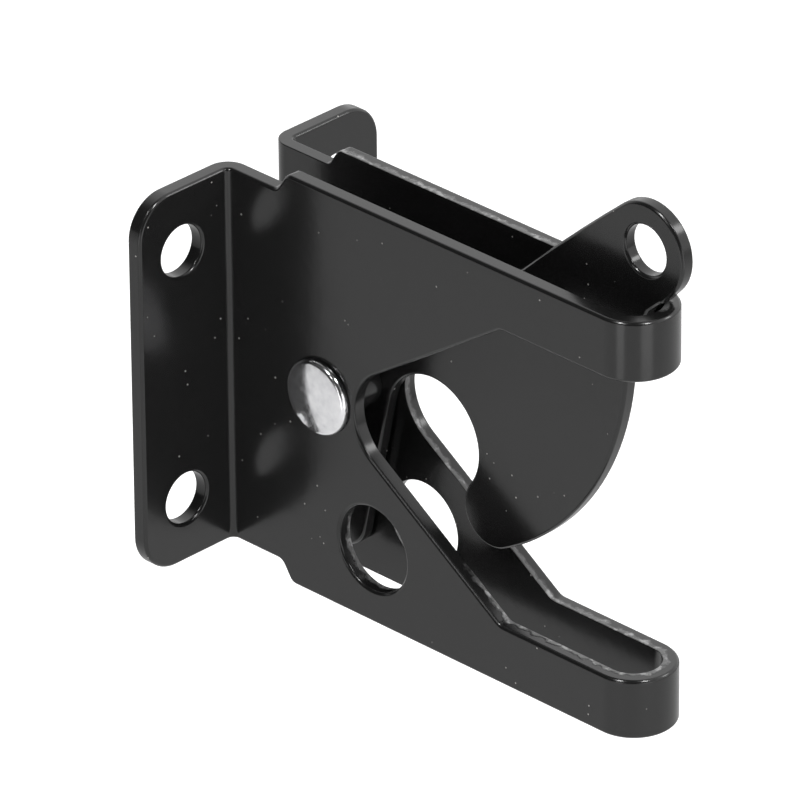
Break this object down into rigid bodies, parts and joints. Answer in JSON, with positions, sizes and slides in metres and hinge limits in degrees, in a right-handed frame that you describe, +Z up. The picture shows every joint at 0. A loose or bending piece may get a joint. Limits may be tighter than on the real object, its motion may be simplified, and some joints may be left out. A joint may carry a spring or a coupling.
{
  "type": "self-locking gate latch",
  "caption": "Gate latch folded from black sheet steel, with a riveted drop catch that closes over a bar, screw flanges and a padlock hole.",
  "frame": {"origin": "centre of the screw hole rectangle, on the back of the flanges where they lie on the post", "axes": "+X out of the post towards the open mouth, +Y across the folded sheet to the plate that the catch runs beside, +Z up with the catch falling shut under gravity"},
  "size_m": [0.0714, 0.041, 0.0691],
  "materials": {
    "black_coating": "gloss",
    "zinc_plating": "bright"
  },
  "bodies": {
    "housing": {"housing": "black_coating", "rivet": "zinc_plating", "spacer": "zinc_plating"},
    "catch": {"catch": "black_coating"}
  },
  "joints": [
    {"name": "catch_pivot", "type": "hinge", "parent": "housing", "child": "catch", "pos_m": [0.0175, 0.0024, 0], "axis": [0, -1, 0], "range_deg": [0, 64]}
  ]
}
